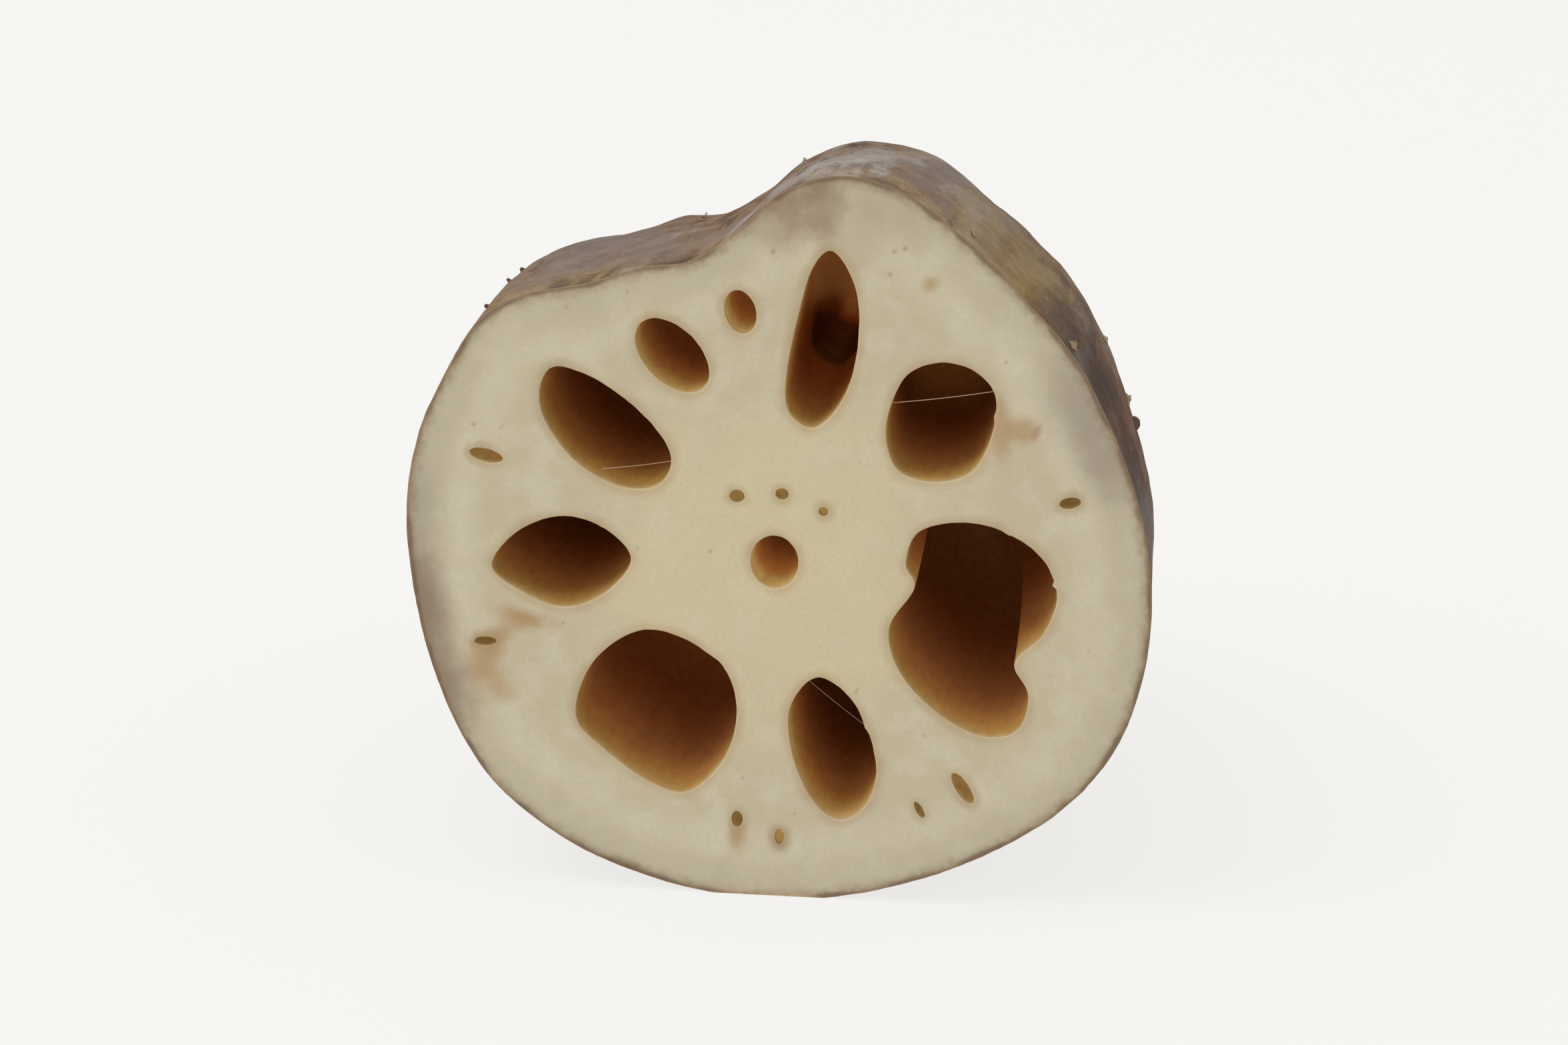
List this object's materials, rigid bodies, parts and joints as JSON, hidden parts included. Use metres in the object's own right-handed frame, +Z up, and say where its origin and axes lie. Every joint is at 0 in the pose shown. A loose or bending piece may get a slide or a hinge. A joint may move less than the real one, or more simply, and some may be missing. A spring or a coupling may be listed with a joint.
{
  "type": "lotus root",
  "caption": "Cut piece of lotus root lying on its side: flat fresh cut with oval air channels, brown skin with a long groove, narrow dried old cut behind.",
  "frame": {"origin": "on the floor, under the middle of the piece's bounding box", "axes": "+Y along the root, from the fresh cut at -Y to the old cut at +Y; +Z up; +X to the right as seen from the fresh cut"},
  "size_m": [0.0792, 0.088, 0.0772],
  "materials": {
    "root_flesh": "moist, matte cut flesh",
    "root_skin": "dry, matte skin"
  },
  "bodies": {
    "root": {"lotus_root": "root_flesh"}
  },
  "joints": []
}
